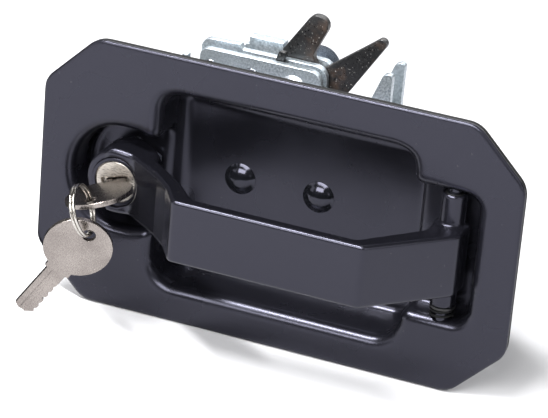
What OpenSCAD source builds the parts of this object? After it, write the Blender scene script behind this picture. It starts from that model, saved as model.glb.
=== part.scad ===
// Recessed pull handle with a key lock, and the rotary fork catch that it releases.
// X runs along the flange, Z is up and +Y goes into the door. The origin is the centre of the four
// mounting studs, on the face where the gasket meets the door. Depths count from the flange's front.

/* [Pan] */
// Width of the flange
pan_w = 191.6; // [190:0.2:200]
// Height of the flange
pan_h = 108; // [107:0.5:114]
// Length cut off each corner along both sides
corner_cut = 20.5; // [16:0.5:22]
// Radius that blends the cut corners
corner_r = 10; // [4:0.5:12]
// Thickness of the pressed steel
sheet = 2; // [1.6:0.1:2]
// Thickness of the gasket behind the flange
gasket_t = 2; // [1:0.5:3]
// Depth of the recess behind the grip
recess_d = 25; // [24:0.5:25]
// Depth of the round recess behind the lock
lobe_d = 18; // [18:0.5:18.5]
// Depth of the pocket that holds the handle's knuckle
pocket_d = 12; // [12:0.25:12.5]

/* [Handle] */
// Height of the handle
handle_h = 24.8; // [22:0.2:26]
// How far the grip stands out of the flange
grip_out = 33.5; // [31:0.5:36]
// Radius of the boss that holds the lock
boss_r = 12.4; // [12:0.1:13]
// Radius of the hinge pin
pin_r = 2.5; // [2:0.1:2.6]

/* [Catch] */
// Thickness of the three zinc-plated plates
plate_t = 3; // [2.5:0.25:3]
// Radius of the rotor's pivot
rotor_pin_r = 4; // [3.5:0.1:4]
// Thickness of the fork rotor
rotor_t = 3.5; // [3:0.1:3.6]
// Height of the slide bar
bar_h = 8; // [7:0.5:8]

/* [Lock and keys] */
// Radius of the lock's visible face
face_r = 8; // [7.5:0.1:8]
// Radius of a key's round bow
bow_r = 13; // [12:0.5:13]
// Turn of the keyway from level
key_tilt = 17; // [0:1:30]
// Radius of the split ring, to the middle of its wire
ring_r = 9.5; // [9:0.5:10]
// Swing of the spare key from hanging straight down
spare_swing = 34.5; // [0:0.5:40]

/* [Hidden] */
$fn = 64;
seat = sheet + gasket_t;      // depth of the mounting face
run = 0.05;                   // radial clearance of a running fit
lock_x = -62.5;
pivot = [68.5, 4];            // hinge pin: X and depth
stud_at = [74, 38];
bolt_x = [-23.2, 9];          // the two bolts that hold the catch to the pan
rotor_at = [-6, 40];          // rotor pivot: X and Z
pawl_at = [-23, 41.5];        // pawl shaft: X and Z
bar_z = -9;
bar_x = [-29.85, 65.85];      // ends of the slide bar at rest
bar_travel = 11.8;
slide_pin_x = [-12, 26];
plate_d = [27, 33, 40.5];     // front faces of the front, middle and rear plates
gap_d = [30, 36];             // start of the gaps behind the front and middle plates
lever_d = 30.5;
lever_t = 2;
rotor_d = 36.5;
back_d = 43.5;                // back of the rear plate
rivet_at = [[-40, 42], [-40, -17.5], [30, -17.5], [31, 8]];
bow_d = -18;                  // centre of the inserted key's bow
hole_off = 7.2;               // key hole from the bow's centre
hole_r = 2.5;
ring_at = [-61.425, -38.626, 0.487];
ring_turn = [0, 70.05, 7.575];
spare_at = [-58.15, -38.7, -8.43];    // the spare key's hole
spare_twist = 25;             // turn of the spare key about its own length
wafer_d = [2, 5, 8, 11, 14];
cam_l = 9.5;                  // lock axis to the centre of the cam's round end
pin_z = 27.5;                 // ends of the hinge pin, flush in the pocket's walls

// ---- Outlines: corners given as [x, y, radius] become arcs ----

function unit(v) = v / norm(v);

function fillet(a, p, b, r, n) =
    let (u = unit(a - p), v = unit(b - p), half = acos(u * v) / 2,
        c = p + unit(u + v) * r / sin(half),
        s = p + u * r / tan(half) - c, e = p + v * r / tan(half) - c,
        from = atan2(s[1], s[0]), turn = atan2(s[0] * e[1] - s[1] * e[0], s * e))
    [for (i = [0:n]) c + r * [cos(from + turn * i / n), sin(from + turn * i / n)]];

function flat(p) = [p[0], p[1]];

function rounded(pts, n = 5) =
    [for (i = [0:len(pts) - 1])
        let (k = len(pts), p = pts[i], a = pts[(i + k - 1) % k], b = pts[(i + 1) % k])
        each len(p) == 3 ? fillet(flat(a), flat(p), flat(b), p[2], n) : [p]];

function arc(c, r, from, to, n) =
    [for (i = [0:n]) let (a = from + (to - from) * i / n) c + r * [cos(a), sin(a)]];

// ---- Placing: drawings and rods at a depth behind the flange's front ----

// A drawing of X and Z, from depth d back by t
module facing(d, t) translate([0, d + t - seat, 0]) rotate([90, 0, 0]) linear_extrude(t) children();

// A drawing of X and depth, from height z up by t
module lying(z, t) translate([0, -seat, z]) linear_extrude(t) children();

// A drawing of depth and Z, from x along by t
module standing(x, t) translate([x, -seat, 0]) rotate([90, 0, 90]) linear_extrude(t) children();

// A rod along Y at p = [x, z], between two depths
module rod(p, from, to, r)
    translate([p[0], to - seat, p[1]]) rotate([90, 0, 0]) cylinder(h = to - from, r = r);

// A rod along Z at p = [x, depth], between two heights
module post(p, from, to, r) translate([p[0], p[1] - seat, from]) cylinder(h = to - from, r = r);

module tube(p, from, to, outer, inner) difference() {
    rod(p, from, to, outer);
    rod(p, from - 1, to + 1, inner);
}

module collar(p, from, to, outer, inner) difference() {
    post(p, from, to, outer);
    post(p, from - 1, to + 1, inner);
}

// A shallow dome that stands forward of depth d
module dome(p, d, r, h) {
    ball = (r * r + h * h) / (2 * h);
    intersection() {
        rod(p, d - h - 1, d, r);
        translate([p[0], d - h + ball - seat, p[1]]) sphere(ball);
    }
}

// ---- Pan, gasket and fixings ----

function flange_outline(inset) =
    let (x = pan_w / 2 - inset, z = pan_h / 2 - inset, c = corner_cut - inset * 0.6)
    rounded([[c - x, -z, corner_r], [x - c, -z, corner_r], [x, c - z, corner_r], [x, z - c, corner_r],
        [x - c, z, corner_r], [c - x, z, corner_r], [-x, z - c, corner_r], [-x, c - z, corner_r]]);

function main_outline(g) =
    rounded([[-48 - g, -39.5 - g, 9 + g], [53 + g, -39.5 - g, 9 + g], [53 + g, 40 + g, 9 + g],
        [-48 - g, 40 + g, 9 + g]]);

function lobe_outline(g) =
    let (r = 20 + g)
    rounded([[lock_x - r, -r, r - 0.2], [-40, -r], [-40, r], [lock_x - r, r, r - 0.2]], 10);

function pocket_outline(g) =
    rounded([[40, -25.5 - g], [79 + g, -25.5 - g, 6 + g], [79 + g, 25.5 + g, 6 + g], [40, 25.5 + g]]);

// The three recesses, grown by g all round, starting at depth d; the main one's roof slopes
module recesses(g, d) {
    intersection() {
        facing(d, recess_d + g - d) polygon(main_outline(g));
        standing(-60, 130)
            polygon([[-1, -40 - g], [recess_d + g, -38.5 - g], [recess_d + g, 31.5 + g],
                [0, 40 + g], [-1, 40 + g]]);
    }
    facing(d, lobe_d + g - d) polygon(lobe_outline(g));
    facing(d, pocket_d + g - d) polygon(pocket_outline(g));
}

// A round-ended bar from the lock towards -X, as long as l and twice r wide
module arm(l, r, d, t) {
    rod([lock_x, 0], d, d + t, r);
    rod([lock_x - l, 0], d, d + t, r);
    facing(d, t) translate([lock_x - l, -r]) square([l, 2 * r]);
}

// Flange and recess pressed from one sheet
module pan() color("#1e1f21") difference() {
    union() {
        facing(0, sheet) polygon(flange_outline(0));
        recesses(sheet, 0);
    }
    recesses(0, -1);
    for (x = bolt_x) rod([x, 0], recess_d - 1, recess_d + sheet + 1, 3.1);
    rod([lock_x, 0], lobe_d - 1, lobe_d + sheet + 1, 6.5);
    arm(cam_l + 0.1, 4.5, lobe_d - 1, sheet + 2);
    facing(pocket_d - 1, sheet + 2) translate([61, bar_z - 6.2]) square([11, 12.4]);
    post(pivot, -pin_z, pin_z, pin_r);
}

module gasket() color("#0c0c0d") difference() {
    facing(sheet, gasket_t) polygon(flange_outline(0.3));
    recesses(sheet + 1, 0);
    for (x = [-1, 1], z = [-1, 1]) rod([x * stud_at[0], z * stud_at[1]], 0, seat + 1, 4.8);
}

// Weld studs with a foot, on the back of the flange
module mounting_studs() color("#b9bcc2") for (x = [-1, 1], z = [-1, 1]) {
    at = [x * stud_at[0], z * stud_at[1]];
    rod(at, sheet, sheet + 0.8, 4.5);
    rod(at, sheet, 20, 2.5);
}

module catch_bolts() color("#111214") for (x = bolt_x) {
    dome([x, 0], recess_d, 6.3, 3);
    rod([x, 0], recess_d - 1, 51, 3);
}

module bolt_washers() color("#c9ccd2") for (x = bolt_x) tube([x, 0], back_d, back_d + 1.2, 6, 3.1);

module bolt_nuts() color("#c9ccd2") for (x = bolt_x) difference() {
    facing(back_d + 1.2, 4.8) translate([x, 0]) circle(5.8, $fn = 6);
    rod([x, 0], back_d, 51, 3);
}

// ---- Plates of the catch ----

// The throat opens upwards between the left edge of its slot and the ear
ear = [[36, 29, 4], [32.6, 34.6, 3], [32.8, 55, 1.5], [29, 53.6, 2], [25, 43, 4], [15, 22, 4]];
no_ear = [[36, 20, 6], [17, 26, 3]];
raised = [[-29.5, 48.9, 1], [-30.6, 51, 1], [-46.5, 50.4, 4]];
tab = [[-44.5, 48.9, 3.5], [-44.5, 42.4], [-49.2, 42.4], [-49.2, 44.6, 0.6], [-51.6, 44.6, 0.6],
    [-52, 39, 2], [-46, 33, 2]];

function plate_outline(right, left) =
    concat([[-46, -22, 5], [36, -22, 5]], right, [[14, 15, 4.5], [5, 15, 4.4], [5, 48.9, 5]], left);

module plate_holes(d) {
    for (x = bolt_x) rod([x, 0], d - 1, d + plate_t + 1, 3.1);
    for (p = rivet_at) rod(p, d - 1, d + plate_t + 1, 2.5);
    rod(rotor_at, d - 1, d + plate_t + 1, rotor_pin_r);
    rod(pawl_at, d - 1, d + plate_t + 1, 3 + run);
}

module front_plate() color("#cfd4dc") difference() {
    facing(plate_d[0], plate_t) polygon(rounded(plate_outline(ear, tab)));
    plate_holes(plate_d[0]);
    for (x = slide_pin_x) rod([x, bar_z], plate_d[0] - 1, gap_d[0] + 1, 1.7);
}

module middle_plate() color("#cfd4dc") difference() {
    facing(plate_d[1], plate_t) polygon(rounded(plate_outline(no_ear, raised)));
    plate_holes(plate_d[1]);
    for (x = slide_pin_x) rod([x, bar_z], plate_d[1] - 1, gap_d[1] + 1, 1.7);
}

// The rear plate has a stepped top edge and a lip folded back above the spring housing
module rear_plate() color("#cfd4dc") difference() {
    union() {
        facing(plate_d[2], plate_t)
            polygon(rounded(plate_outline(ear, [[-31, 48.9, 1], [-32.5, 46.5, 1], [-46, 46.5, 4]])));
        facing(back_d - 0.5, 2.5) translate([-30, 50.4]) square([14, 1.5]);
        facing(plate_d[2], plate_t) translate([-30, 47.9]) square([14, 4]);
    }
    plate_holes(plate_d[2]);
}

module plate_spacers() color("#b7bac0") {
    for (p = concat([[bolt_x[0], 0], [bolt_x[1], 0]], [for (q = rivet_at) q])) {
        r = p[1] == 0 ? 4.5 : 3.5;
        bore = p[1] == 0 ? 3.1 : 2.5;
        tube(p, gap_d[0], plate_d[1], r, bore);
        tube(p, gap_d[1], plate_d[2], r, bore);
    }
    tube(rotor_at, gap_d[0], plate_d[1], 5.5, rotor_pin_r);
}

// Flush at the front, where the plate lies against the pan, and headed behind
module plate_rivets() color("#a9adb4") for (p = rivet_at) {
    rod(p, plate_d[0], back_d, 2.5);
    rod(p, back_d, back_d + 1.6, 4.2);
}

module slide_pins() color("#a9adb4") for (x = slide_pin_x) rod([x, bar_z], plate_d[0], gap_d[1], 1.7);

// ---- Rotor, pawl and the bar that trips them ----

// Fork with two prongs and, at its lower right, the notch that the pawl's tooth drops into
module rotor() color("#2a2523") difference() {
    facing(rotor_d, rotor_t) polygon(concat(
        rounded([[-15, 51], [-4.2, 67.4, 4], [4.6, 67, 4], [-3, 50.5, 4], [1, 46, 2.5],
            [21, 61.6, 3], [24.4, 64.4, 1.9], [26.3, 61.3, 1.9], [12.5, 39.2]]),
        arc(rotor_at, 12.5, -3, -29, 4),
        arc(rotor_at, 16.2, -29, -88, 10),
        arc(rotor_at, 11, -104, -230, 14)));
    rod(rotor_at, rotor_d - 1, rotor_d + rotor_t + 1, rotor_pin_r + 1);
}

module rotor_bush() color("#b08d57")
    tube(rotor_at, rotor_d, rotor_d + rotor_t, rotor_pin_r + 1, rotor_pin_r + run);

module rotor_pivot() color("#c9ccd2") {
    dome(rotor_at, plate_d[0], 5.6, 2.3);
    rod(rotor_at, plate_d[0] - 0.5, 57, rotor_pin_r);
    rod(rotor_at, 57, 58.2, rotor_pin_r + 0.8);
}

// Blued steel cup that holds the rotor's spring
module rotor_drum() color("#6f7b8c") difference() {
    rod(rotor_at, back_d, 57, 8.4);
    rod(rotor_at, back_d - 1, 56, 7.8);
    rod(rotor_at, 50, 58, rotor_pin_r);
}

module rotor_spring() color("#5c6068")
    for (i = [0:8]) translate([rotor_at[0], 45.2 + i * 1.2 - seat, rotor_at[1]])
        rotate([90, 0, 0]) rotate_extrude() translate([5.6, 0]) circle(0.55, $fn = 16);

module spring_housing() color("#d9dbdd") difference() {
    rod(pawl_at, back_d, 52, 8.2);
    rod(pawl_at, back_d - 1, 51.2, 7.5);
}

module pawl_spring() color("#5c6068")
    for (i = [0:3]) translate([pawl_at[0], 45 + i * 1.3 - seat, pawl_at[1]])
        rotate([90, 0, 0]) rotate_extrude() translate([5.4, 0]) circle(0.6, $fn = 16);

// Hooked pawl that hangs beside the rotor; its tooth rides on the rotor's rim
module pawl() color("#34363a") difference() {
    union() {
        rod(pawl_at, rotor_d, rotor_d + rotor_t, 5.5);
        facing(rotor_d, rotor_t)
            polygon(rounded([[-28.5, 41.5], [-28.5, 20, 3], [-24, 15.5, 4], [-5.5, 15.5, 2], [-3.5, 18, 1],
                [-3.5, 23.6, 0.5], [-9, 23.5, 0.5], [-9.6, 19.5, 1], [-19, 20.5, 3], [-23, 26, 3], [-23, 41.5]]));
    }
    rod(pawl_at, rotor_d - 1, rotor_d + rotor_t + 1, 3);
}

module pawl_shaft() color("#8d9198") rod(pawl_at, plate_d[0], 51, 3);

module shaft_clip() color("#2b2c2f") tube(pawl_at, 49.8, 50.6, 5, 3);

// Long arm that the slide bar pushes, with a short finger above the plates
module trip_lever() color("#17181a") difference() {
    union() {
        rod(pawl_at, lever_d, lever_d + lever_t, 6);
        facing(lever_d, lever_t)
            polygon(rounded([[-28.9, 41], [-36.5, 14, 6], [-36.5, -12.5, 3], [-30, -12.5, 2], [-30, 11, 6],
                [-18.5, 37.8], [-12.4, 45.2, 2], [-10.9, 52.4, 0.8], [-13.9, 52.6, 0.8], [-15.6, 47.5, 2]]));
    }
    rod(pawl_at, lever_d - 1, lever_d + lever_t + 1, 3);
}

// Its right end is pushed by the handle's tail, and two slots guide it on the slide pins
module slide_bar() color("#c3c7ce") difference() {
    facing(lever_d, lever_t) polygon(rounded([[bar_x[0], bar_z - bar_h / 2, bar_h / 2 - 0.1],
        [bar_x[1], bar_z - bar_h / 2, 1], [bar_x[1], bar_z + bar_h / 2, 1],
        [bar_x[0], bar_z + bar_h / 2, bar_h / 2 - 0.1]]));
    for (x = slide_pin_x) {
        facing(lever_d - 1, lever_t + 2) translate([x, bar_z - 1.8]) square([bar_travel, 3.6]);
        rod([x, bar_z], lever_d - 1, lever_d + lever_t + 1, 1.8);
        rod([x + bar_travel, bar_z], lever_d - 1, lever_d + lever_t + 1, 1.8);
    }
}

// ---- Handle and its hinge ----

// Arched grip, boss for the lock, knuckle on the hinge pin and the tail that works the slide bar
module handle() color("#242527") difference() {
    union() {
        lying(-handle_h / 2, handle_h) polygon(rounded([[lock_x, -3], [-57, -3.4, 4], [-50.5, -8.2, 6],
            [-40.5, -16, 12], [-33.5, -23.4, 8], [-27, -grip_out, 3], [48, -grip_out, 3.5], [75.3, -5.5, 4],
            [75, 4], [pivot[0], 9], [63, 4, 2], [61.9, -6.6, 5], [43.5, -28, 3], [-21, -28, 3], [-31, -16, 6],
            [-46, -3, 6], [-49, 5, 2], [lock_x, 6]]));
        rod([lock_x, 0], -3, 14, boss_r);
        post(pivot, -handle_h / 2, handle_h / 2, 6.6);
        post(pivot, -20.5, 24.8, 4.8);
        lying(bar_z - 5, 10) translate([pivot[0] - 2.5, pivot[1]]) square([5, 33.5]);
    }
    rod([lock_x, 0], -4, 15, 9);
    rod([lock_x, 0], -12, -3, 9.7);
    post(pivot, -22, 26, pin_r + 0.3);
    post(pivot, -22, -12.5, 3.6);
    post(pivot, 16.8, 26, 3.6);
}

// The lower one has a flange that takes the handle's weight
module handle_bushes() color("#141416") {
    collar(pivot, 16.8, 24.8, 3.6, pin_r + run);
    difference() {
        union() {
            post(pivot, -20.5, -12.5, 3.6);
            post(pivot, -21.5, -20.5, 4.8);
        }
        post(pivot, -22, -12, pin_r + run);
    }
}

module handle_pin() color("#b9bcc2") post(pivot, -pin_z, pin_z, pin_r);

module handle_spring() color("#2c2d30")
    for (i = [0:2]) translate([pivot[0], pivot[1] - seat, -22.2 - i * 1.1])
        rotate_extrude() translate([4.2, 0]) circle(0.5, $fn = 16);

// ---- Lock ----

module lock_bezel() color("#c8c6c0") tube([lock_x, 0], -3.9, -3, 9.6, face_r + 0.35);

module lock_barrel() color("#b5b3ad") difference() {
    rod([lock_x, 0], -3, 16.4, 9);
    rod([lock_x, 0], -4, -1.4, face_r + run);
    rod([lock_x, 0], -2, 17, 6.2 + run);
}

module lock_nut() color("#a9adb4") difference() {
    facing(14, 2.2) translate([lock_x, 0]) circle(12, $fn = 6);
    rod([lock_x, 0], 13, 17, 9);
}

// A box in the turned frame of the keyway, centred on the lock
module keyway_box(w, t, from, to, up = 0)
    translate([lock_x, from - seat, 0]) rotate([0, -key_tilt, 0])
        translate([-w / 2, 0, up - t / 2]) cube([w, to - from, t]);

module lock_plug() color("#c2bfb8") difference() {
    union() {
        rod([lock_x, 0], -3.5, -1.5, face_r);
        rod([lock_x, 0], -1.6, 17, 6.2);
        rod([lock_x, 0], 17, 20.9, 4.2);
        facing(20.8, 2.2) translate([lock_x - 2.8, -2.8]) square(5.6);
    }
    keyway_box(8.4, 2.4, -4, 19.6);
    keyway_box(11.4, 3.3, -4, -2, 0.55);
    for (d = wafer_d) keyway_box(10.6, 5.2, d - 0.1, d + 1.1);
    rod([lock_x, 0], 19, 24, 1.6);
}

module lock_wafers() color("#c9a45c") for (d = wafer_d) difference() {
    keyway_box(10.4, 5, d, d + 1);
    keyway_box(8.4, 2.4, d - 1, d + 2);
}

// Cam that stands in line with the slot in the pan when the lock is open
module lock_cam() color("#c3c7ce") difference() {
    union() {
        rod([lock_x, 0], 21, 23, 5);
        arm(cam_l, 4, 21, 2);
    }
    facing(20, 4) translate([lock_x - 2.8, -2.8]) square(5.6);
}

module cam_washer() color("#b9bcc2") tube([lock_x, 0], 23, 23.6, 5, 1.6);

module cam_screw() color("#9a9da3") difference() {
    union() {
        rod([lock_x, 0], 19.8, 23.7, 1.6);
        rod([lock_x, 0], 23.6, 25.6, 3.6);
    }
    facing(25, 1) translate([lock_x - 4, -0.5]) square([8, 1]);
}

// ---- Keys and ring ----

// Key lying flat: bow at the origin, blade along +Y, cuts along its right edge
module key_blank() difference() {
    union() {
        cylinder(h = 2, r = bow_r, center = true);
        translate([0, 0, -1]) linear_extrude(2) polygon(concat(
            [[-5.2, bow_r - 3], [-5.2, bow_r + 1.2], [-4, bow_r + 1.2], [-4, bow_r + 22.5],
                [-1.5, bow_r + 24], [1, bow_r + 24]],
            [for (i = [4:-1:0])
                let (y = bow_r + 7 + i * 3.2)
                each [[4, y + 2], [3.3 - 0.3 * (i % 3), y + 1], [4, y]]],
            [[4, bow_r + 1.2], [5.2, bow_r + 1.2], [5.2, bow_r - 3]]));
    }
    translate([0, -hole_off, 0]) cylinder(h = 4, r = hole_r, center = true);
    for (s = [-1, 1]) translate([-1.6, bow_r + 1.5, s * 1 - 0.45]) cube([2.2, 25, 0.9]);
}

module key() color("#cbc9c4") translate([lock_x, bow_d - seat, 0]) rotate([0, -key_tilt, 0]) key_blank();

// Two turns of wire, pressed side by side, that pass through both keys' holes
module key_ring() color("#c4c2bd") translate(ring_at) rotate(ring_turn) rotate_extrude()
    for (s = [-0.6, 0.6]) translate([ring_r, s]) circle(0.62, $fn = 24);

// Hangs from its hole on the ring
module spare_key() color("#cbc9c4") translate(spare_at) rotate([0, spare_swing, 0]) rotate([-92, 0, 0])
    rotate([0, -spare_twist, 0]) translate([0, hole_off, 0]) key_blank();

pan();
gasket();
mounting_studs();
catch_bolts();
bolt_washers();
bolt_nuts();
front_plate();
middle_plate();
rear_plate();
plate_spacers();
plate_rivets();
slide_pins();
rotor_pivot();
rotor_drum();
rotor_spring();
spring_housing();
pawl_spring();
handle_pin();
handle_spring();
handle();
handle_bushes();
lock_bezel();
lock_barrel();
lock_nut();
lock_plug();
lock_wafers();
lock_cam();
cam_washer();
cam_screw();
key();
key_ring();
spare_key();
rotor();
rotor_bush();
pawl();
pawl_shaft();
shaft_clip();
trip_lever();
slide_bar();
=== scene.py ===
import math
import bmesh
import bpy
import numpy as np
from mathutils import Matrix, Vector


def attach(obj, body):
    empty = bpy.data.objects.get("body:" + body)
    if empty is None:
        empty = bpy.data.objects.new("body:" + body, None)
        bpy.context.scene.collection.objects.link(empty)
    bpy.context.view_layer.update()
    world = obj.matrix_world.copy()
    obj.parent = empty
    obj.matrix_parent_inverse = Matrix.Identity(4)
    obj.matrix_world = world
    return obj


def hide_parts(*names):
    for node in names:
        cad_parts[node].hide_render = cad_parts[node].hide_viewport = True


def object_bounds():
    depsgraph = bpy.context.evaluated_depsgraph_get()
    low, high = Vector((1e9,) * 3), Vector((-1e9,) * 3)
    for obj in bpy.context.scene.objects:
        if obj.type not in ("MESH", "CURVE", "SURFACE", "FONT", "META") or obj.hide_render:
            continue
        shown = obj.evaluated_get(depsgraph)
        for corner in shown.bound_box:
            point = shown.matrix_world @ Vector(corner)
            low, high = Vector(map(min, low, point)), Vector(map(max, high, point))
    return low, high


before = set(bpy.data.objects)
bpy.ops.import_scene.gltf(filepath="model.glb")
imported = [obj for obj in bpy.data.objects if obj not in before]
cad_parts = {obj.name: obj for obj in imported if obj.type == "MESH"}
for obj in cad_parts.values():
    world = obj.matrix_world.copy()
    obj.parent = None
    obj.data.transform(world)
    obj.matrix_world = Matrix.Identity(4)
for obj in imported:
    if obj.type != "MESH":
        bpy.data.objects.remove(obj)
cad_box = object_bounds()

# ---------------------------------------------------------------- Camera
# A long lens in front of the latch, to its right and above it, rolled a little, so the flange
# runs down to the right. From this far off, the hinge's end of the flange is only a little larger.

AZIMUTH, ELEVATION, ROLL = math.radians(20.2), math.radians(24.2), math.radians(-5.0)
DISTANCE = 1.124
AIM = Vector((-0.0009, -0.0024, 0.0))
LENS = 198.4
# Depths are counted in millimetres from the flange's front; the frame's origin is this far behind it.
SEAT_DEPTH = 4.0

right = Vector((math.cos(AZIMUTH), math.sin(AZIMUTH), 0))
level = Vector((math.sin(AZIMUTH), -math.cos(AZIMUTH), 0))
back = level * math.cos(ELEVATION) + Vector((0, 0, math.sin(ELEVATION)))
up = back.cross(right)
view = Matrix((right, up, back)).transposed().to_4x4() @ Matrix.Rotation(-ROLL, 4, "Z")
place = view.to_3x3() @ (Vector((0, 0, DISTANCE)) - AIM) - Vector((0, SEAT_DEPTH / 1000, 0))
camera = bpy.data.objects.new("camera", bpy.data.cameras.new("camera"))
bpy.context.collection.objects.link(camera)
camera.matrix_world = Matrix.Translation(place) @ view
camera.data.lens = LENS
camera.data.clip_start, camera.data.clip_end = 0.05, 20
bpy.context.scene.camera = camera

# ---------------------------------------------------------------- Studio
# A paper sweep that the flange's lower edge stands on. A narrow strip overhead draws the thin
# highlights along the rims, a wide box in front lights the faces, and one behind lights the catch.


def srgb(text):
    """A hex colour as the linear colour that a node takes."""
    parts = [int(text[i:i + 2], 16) / 255 for i in (1, 3, 5)]
    return [c / 12.92 if c <= 0.04045 else ((c + 0.055) / 1.055) ** 2.4 for c in parts] + [1.0]


def add(tree, kind, links=(), **settings):
    """A node with its settings, and each input in links set from a socket or to a value."""
    node = tree.nodes.new(kind)
    for name, value in settings.items():
        setattr(node, name, value)
    for key, value in links:
        if isinstance(value, bpy.types.NodeSocket):
            tree.links.new(value, node.inputs[key])
        else:
            node.inputs[key].default_value = value
    return node


def shader(name):
    """A new material with its emptied tree, and an Object coordinate in metres."""
    material = bpy.data.materials.new(name)
    material.use_nodes = True
    tree = material.node_tree
    tree.nodes.clear()
    return material, tree, add(tree, "ShaderNodeTexCoord").outputs["Object"]


def close(tree, surface):
    add(tree, "ShaderNodeOutputMaterial", [("Surface", surface.outputs[0])])


FLOOR_Z = cad_box[0].z - 0.0002
SWEEP_HALF, SWEEP_START, SWEEP_BEND, SWEEP_RISE = 3.0, 1.2, 0.6, 3.0


def paper():
    """Seamless pale grey paper, which the lamps drive to white: matt, with a faint mottle of fibres."""
    material, tree, where = shader("pale_grey_paper")
    fibre = add(tree, "ShaderNodeTexNoise", [("Vector", where), ("Scale", 400.0), ("Detail", 4.0)])
    bump = add(tree, "ShaderNodeBump", [("Height", fibre.outputs["Fac"]), ("Strength", 0.02),
                                        ("Distance", 0.0002)])
    close(tree, add(tree, "ShaderNodeBsdfPrincipled", [
        ("Base Color", srgb("#c6c6c8")), ("Roughness", 0.9), ("Specular IOR Level", 0.1),
        ("Normal", bump.outputs[0])]))
    return material


def staged(name, verts, faces, material):
    """A mesh that belongs to the studio, not to the latch."""
    mesh = bpy.data.meshes.new(name)
    mesh.from_pydata(verts, [], faces)
    mesh.polygons.foreach_set("use_smooth", [True] * len(faces))
    mesh.materials.append(material)
    made = bpy.data.objects.new(name, mesh)
    bpy.context.collection.objects.link(made)
    return made


def sweep():
    """A floor that curves up into a back wall well behind the latch."""
    line = [(-SWEEP_HALF, 0.0), (SWEEP_START, 0.0)]
    line += [(SWEEP_START + SWEEP_BEND * math.sin(a), SWEEP_BEND - SWEEP_BEND * math.cos(a))
             for a in np.linspace(0, math.pi / 2, 13)[1:]]
    line += [(SWEEP_START + SWEEP_BEND, SWEEP_RISE)]
    verts = [(x, y, z + FLOOR_Z) for y, z in line for x in (-SWEEP_HALF, SWEEP_HALF)]
    faces = [(2 * i, 2 * i + 1, 2 * i + 3, 2 * i + 2) for i in range(len(line) - 1)]
    staged("sweep", verts, faces, paper())


def black_flag(low, high):
    """A black card on the floor that only reflections see: it keeps the paper's glare off the arm."""
    material, tree, _ = shader("black_card")
    close(tree, add(tree, "ShaderNodeBsdfDiffuse", [("Color", srgb("#050505"))]))
    corners = [(low[0], low[1]), (high[0], low[1]), (high[0], high[1]), (low[0], high[1])]
    card = staged("black_flag", [(x, y, FLOOR_Z + 0.001) for x, y in corners], [(0, 1, 2, 3)], material)
    card.visible_camera = card.visible_diffuse = card.visible_shadow = False


def softbox(name, at, size, power):
    """A rectangular lamp that faces the latch: metres and watts."""
    lamp = bpy.data.objects.new(name, bpy.data.lights.new(name, "AREA"))
    lamp.data.shape, lamp.data.size, lamp.data.size_y = "RECTANGLE", size[0], size[1]
    lamp.data.energy = power
    lamp.location = at
    lamp.rotation_mode = "QUATERNION"
    lamp.rotation_quaternion = (-Vector(at)).to_track_quat("-Z", "Y")
    bpy.context.collection.objects.link(lamp)


sweep()
black_flag((-0.7, -0.03), (-0.1, 0.5))
softbox("overhead_strip", (-0.25, -0.38, 0.95), (0.7, 0.075), 24)
softbox("right_box", (0.95, -0.55, 0.45), (0.5, 0.8), 3)
softbox("left_box", (-0.95, -0.7, 0.35), (0.45, 0.8), 1.8)
softbox("front_box", (-0.1, -1.1, 0.8), (1.0, 0.5), 24)
softbox("rim_box", (0.1, 0.75, 0.7), (1.4, 0.5), 8)
world = bpy.data.worlds.new("studio")
world.use_nodes = True
world.node_tree.nodes["Background"].inputs["Color"].default_value = srgb("#ffffff")
world.node_tree.nodes["Background"].inputs["Strength"].default_value = 0.12
bpy.context.scene.world = world
bpy.context.scene.view_settings.view_transform = "Standard"

# ---------------------------------------------------------------- Pan
# One deep-drawn pressing of 2 mm steel: a flange with cut corners, a main well behind the grip, a
# round lobe round the lock and a shallow pocket for the hinge. The draw leaves soft rolled rims.
# It is powder coated satin black, which has a very fine orange peel and picks up a little dust.

SHEET = 2.0
EDGE_R = 0.8
FLANGE_W, FLANGE_H, FLANGE_CUT, FLANGE_R = 191.6, 108.0, 20.5, 10.0
WELL_DEPTH, LOBE_DEPTH, POCKET_DEPTH = 25.0, 18.0, 12.0
# Each rectangle is its low corner, its high corner and its corner radius.
WELL = (-48, -39.5), (53, 40), 10
POCKET = (40, -25.5), (79, 25.5), 6
WELL_TOP, ROOF_LEAN = 40, 8.5
ROOF_R, WELL_FLOOR_R, LOBE_FLOOR_R, POCKET_FLOOR_R = 4, 4.5, 3, 2.5
LOBE_MOUTH_R, POCKET_MOUTH_R, RIM_R = 5, 4, 4.5
LOCK_X, LOBE_R, LOBE_TO = -62.5, 20.0, -40
KEYHOLE_R, KEYHOLE_ARM, KEYHOLE_HALF = 6.5, 14.1, 4.5
HINGE = (68.5, 4.0)
BAR_Z = -9.0
TAIL_SLOT = (61, BAR_Z - 6.2), (72, BAR_Z + 6.2), 1
# The holes start at these depths, behind the flange and inside the recess's back.
KEYHOLE_FROM, TAIL_SLOT_FROM = 10, 8


def blend_in(a, b, r):
    """Union of two distance fields, with the inner corner between them filled to radius r."""
    return np.maximum(r, np.minimum(a, b)) - np.hypot(np.maximum(r - a, 0), np.maximum(r - b, 0))


def round_off(a, b, r):
    """Overlap of two distance fields, with the edge between them rounded to radius r."""
    return np.minimum(-r, np.maximum(a, b)) + np.hypot(np.maximum(r + a, 0), np.maximum(r + b, 0))


def box_field(x, z, low, high, r):
    """Distance to a rectangle with corners of radius r."""
    dx = np.abs(x - (low[0] + high[0]) / 2) - (high[0] - low[0]) / 2 + r
    dz = np.abs(z - (low[1] + high[1]) / 2) - (high[1] - low[1]) / 2 + r
    return np.hypot(np.maximum(dx, 0), np.maximum(dz, 0)) + np.minimum(np.maximum(dx, dz), 0) - r


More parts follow.
